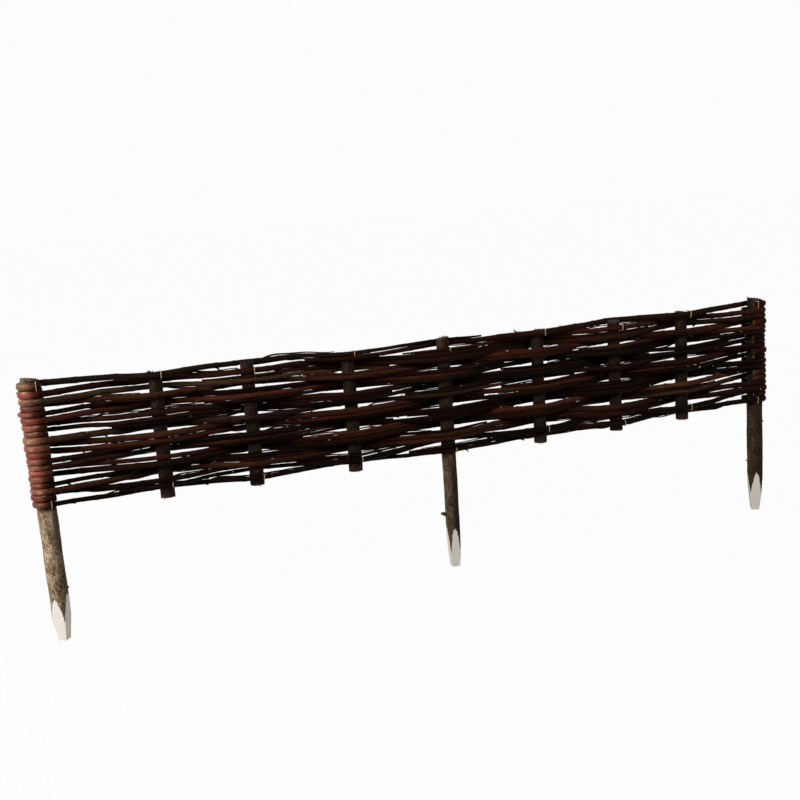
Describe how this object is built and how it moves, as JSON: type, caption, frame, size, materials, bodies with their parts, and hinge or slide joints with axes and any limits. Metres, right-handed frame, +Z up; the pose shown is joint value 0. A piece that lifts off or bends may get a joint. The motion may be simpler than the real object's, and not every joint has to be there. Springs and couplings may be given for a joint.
{
  "type": "woven willow hurdle",
  "caption": "Low garden edging hurdle: dark willow rods woven between round uprights, turned back round the end stakes, on pointed stakes that are driven into the ground.",
  "frame": {"origin": "on the middle stake's axis at the ground line, which is the lowest edge of the woven band", "axes": "+X along the panel, to the right seen from its front; +Y through the panel to its back; +Z up"},
  "size_m": [1.2041, 0.0406, 0.3723],
  "materials": {
    "dark_rod_bark": "dry dark brown bark",
    "red_rod_bark": "dry reddish brown bark",
    "tan_rod_bark": "dry light brown bark",
    "upright_bark": "rough grey-brown bark with hewn pale points",
    "staple_wire": "dull brassy wire"
  },
  "bodies": {
    "root": {"left_rod_01": "tan_rod_bark", "left_rod_02": "red_rod_bark", "left_rod_03": "tan_rod_bark", "left_rod_04": "dark_rod_bark", "left_rod_05": "red_rod_bark", "left_rod_06": "red_rod_bark", "left_rod_07": "dark_rod_bark", "left_rod_08": "dark_rod_bark", "left_rod_09": "tan_rod_bark", "left_rod_10": "dark_rod_bark", "left_rod_11": "red_rod_bark", "left_rod_12": "dark_rod_bark", "left_rod_13": "dark_rod_bark", "left_rod_14": "red_rod_bark", "left_rod_15": "dark_rod_bark", "left_rod_16": "dark_rod_bark", "left_rod_17": "dark_rod_bark", "left_rod_18": "red_rod_bark", "left_rod_19": "dark_rod_bark", "left_stake": "upright_bark", "middle_stake": "upright_bark", "right_rod_01": "dark_rod_bark", "right_rod_02": "red_rod_bark", "right_rod_03": "dark_rod_bark", "right_rod_04": "red_rod_bark", "right_rod_05": "dark_rod_bark", "right_rod_06": "tan_rod_bark", "right_rod_07": "dark_rod_bark", "right_rod_08": "tan_rod_bark", "right_rod_09": "dark_rod_bark", "right_rod_10": "red_rod_bark", "right_rod_11": "dark_rod_bark", "right_rod_12": "red_rod_bark", "right_rod_13": "dark_rod_bark", "right_rod_14": "dark_rod_bark", "right_rod_15": "tan_rod_bark", "right_rod_16": "dark_rod_bark", "right_rod_17": "red_rod_bark", "right_rod_18": "dark_rod_bark", "right_rod_19": "dark_rod_bark", "right_stake": "upright_bark", "short_upright_1": "upright_bark", "short_upright_2": "upright_bark", "short_upright_3": "upright_bark", "short_upright_4": "upright_bark", "short_upright_5": "upright_bark", "short_upright_6": "upright_bark", "staples": "staple_wire"}
  },
  "joints": []
}
